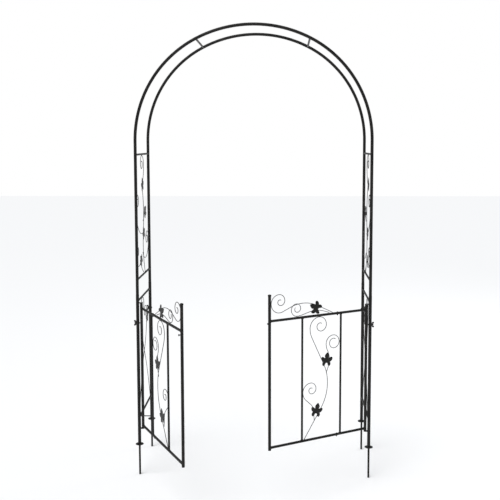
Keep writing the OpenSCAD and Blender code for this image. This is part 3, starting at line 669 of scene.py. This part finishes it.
gate_top = rail_high - RAIL_R - WIRE_R - SEAT
gate_foot = rail_low + RAIL_R + WIRE_R + SEAT
crest_foot = rail_high + RAIL_R + WIRE_R + SEAT
SIDE_CURL_R = 0.040
SIDE_CURL_SHRINK = 0.86
for side, _ in SIDES:
    hang, leaf_w = leaf_frame(side)
    grille = hang @ Matrix.Rotation(pi / 2, 4, "X")
    behind = in_plane(grille, 1)
    vine = bmesh.new()
    top = Vector((BAR_U[0] + 0.174, gate_top - 0.052))
    tail = bends((100, -26), (161, 0), (180, 14))
    fork, fork_heading = run_end(top, -pi / 2, tail)
    stem_end = Vector((BAR_U[1] - 0.013, gate_foot))
    curled_wire(vine, top, scroll(0.052, 0.76, 5),
                tail + run_to(fork, fork_heading, stem_end, radians(46)), grille)
    side_curl = Vector((BAR_U[0] + BAR_R + WIRE_R + SEAT + SIDE_CURL_R * (1 + SIDE_CURL_SHRINK),
                        rail_high - 0.145))
    curled_wire(vine, side_curl, scroll(SIDE_CURL_R, SIDE_CURL_SHRINK, 5),
                bends((70, -28), (95, 50), (30, 0)), behind)
    low_curl = Vector((BAR_U[1] - BAR_R - WIRE_R - SEAT, rail_low + 0.234))
    curled_wire(vine, low_curl, scroll(0.042, 0.74, 5), bends((53, -48), (36, 0), (45, 42), (50, 0)), behind)
    finish_piece(f"{side}_vine_wires", vine, f"{side}_gate", wire_coat, [f"{side}_gate_vine"])

    crest = bmesh.new()
    post_curl = Vector((leaf_w - GATE_POST_R - WIRE_R - SEAT, rail_high + 0.078))
    run = bends((44, -112), (48, 0), (170, 22), (190, 26))
    landing, slope = run_end(post_curl, -pi / 2, run)
    fall = (crest_foot - landing.y) / sin(slope)
    curled_wire(crest, post_curl, scroll(0.042, 0.72, 5), run + [(fall, 0)], grille)
    second = Vector((leaf_w - 0.118, crest_foot + 0.031))
    run = bends((31, -90), (110, -14), (40, 0), (150, 32))
    landing, slope = run_end(second, -pi / 2, run)
    fall = (crest_foot - landing.y) / sin(slope)
    curled_wire(crest, second, scroll(0.028, 0.8, 4), run + [(fall, 0)], behind)
    finish_piece(f"{side}_crest_wires", crest, f"{side}_gate", wire_coat,
                 [f"{side}_gate_crest"])

    gate_tacks = bmesh.new()
    for point, plane in ((stem_end, 0), (Vector((BAR_U[1] - BAR_R, low_curl.y)), 1),
                         (Vector((BAR_U[0] + BAR_R, side_curl.y + SIDE_CURL_R * (1 - SIDE_CURL_SHRINK))), 1),
                         (Vector((leaf_w - GATE_POST_R, post_curl.y)), 0),
                         (Vector((BAR_U[0] + 0.122, gate_top + WIRE_R)), 0),
                         (Vector((leaf_w - 0.149, crest_foot)), 1)):
        blob_weld(gate_tacks, in_plane(grille, plane) @ Vector((point.x, point.y, 0)), TACK_R)
    finish_piece(f"{side}_gate_tacks", gate_tacks, f"{side}_gate", weld_coat)


# ---- Leaves: pressed five-lobed leaves, five on each side panel and three on each gate leaf ----
# Cut from sheet and pressed so that a ridge runs from the middle out to each lobe, then welded to the
# wires. The same black coat, a little duller, with dust in the hollows.
leaf_coat = powder_coat("leaf_powder_coat", 0.42, 520, 0.00040, 0.25)
LEAF_H = 0.070
LEAF_BACK = WIRE_R + 0.0001
HALF_LEAF = ((0, 0.54), (0.065, 0.485), (0.13, 0.40), (0.18, 0.30), (0.172, 0.215), (0.125, 0.155),
             (0.20, 0.155), (0.29, 0.21), (0.39, 0.225), (0.455, 0.165), (0.455, 0.07), (0.41, -0.025),
             (0.345, -0.085), (0.275, -0.105), (0.315, -0.17), (0.335, -0.26), (0.315, -0.35),
             (0.245, -0.42), (0.16, -0.39), (0.105, -0.30), (0.065, -0.20))
LOBES = (90, 28, 152, -55, -125)
SHEET = 0.0016
RIDGE_H = 0.0011
BOSS_H = 0.0012
DIMPLE = 0.0003


def pressed_leaf(bm, place, lean, matrix, back):
    """One leaf in the local XY plane, its face towards local Z."""
    sheet = bmesh.new()
    half = [Vector((x, y, 0)) * LEAF_H for x, y in HALF_LEAF]
    other = [Vector((-p.x, p.y, 0)) for p in reversed(half[1:])]
    outline = sheet.faces.new([sheet.verts.new(p) for p in half + other])
    bmesh.ops.poke(sheet, faces=[outline], offset=0)
    bmesh.ops.subdivide_edges(sheet, edges=sheet.edges[:], cuts=3, use_grid_fill=True)
    for vert in sheet.verts:
        out = vert.co.xy.length / LEAF_H
        angle = math.atan2(vert.co.y, vert.co.x)
        near = min(abs(math.remainder(angle - radians(lobe), 2 * pi)) for lobe in LOBES)
        ridge = max(0, 1 - near / radians(26)) * min(1, out * 6) * max(0, 1 - out * 1.55)
        boss = max(0, 1 - out * 3.2)
        vert.co.z = RIDGE_H * ridge + BOSS_H * boss + DIMPLE * noise.noise(vert.co * 120)
    bmesh.ops.solidify(sheet, geom=sheet.faces[:], thickness=-SHEET)
    bmesh.ops.remove_doubles(sheet, verts=sheet.verts, dist=MERGE)
    bmesh.ops.recalc_face_normals(sheet, faces=sheet.faces)
    lowest = min(vert.co.z for vert in sheet.verts)
    settle = (matrix @ Matrix.Translation((place.x, place.y, back - lowest))
              @ Matrix.Rotation(radians(lean), 4, "Z"))
    bmesh.ops.transform(sheet, matrix=settle, verts=sheet.verts)
    join_in(bm, sheet)


for side, sx in SIDES:
    panel_leaves = bmesh.new()
    for place, lean, plane in zip(upper_leaves + [lower_leaf], (10, -40, 20, 45, 5), (0, 1, 0, 1, 1)):
        pressed_leaf(panel_leaves, place, lean, in_plane(side_frame(sx), plane), LEAF_BACK)
    finish_piece(f"side_leaf_set_{side}", panel_leaves, "arch", leaf_coat,
                 [f"side_leaves_{side}"])
    hang, leaf_w = leaf_frame(side)
    grille = hang @ Matrix.Rotation(pi / 2, 4, "X")
    gate_leaf_set = bmesh.new()
    for place, lean in ((Vector((BAR_U[0] + 0.081, rail_high - 0.222)), 6),
                        (Vector((BAR_U[1] - 0.080, rail_low + 0.138)), 14),
                        (Vector((leaf_w - 0.250, rail_high + 0.039)), -62)):
        pressed_leaf(gate_leaf_set, place, lean, grille, LEAF_BACK)
    finish_piece(f"{side}_leaf_set", gate_leaf_set, f"{side}_gate", leaf_coat,
                 [f"{side}_gate_leaves"])


# ---- Side peg ----
# A short 5 mm peg with a thick end, welded to the lowest rung by the left foot.
coat_node("side_peg", rung_coat)
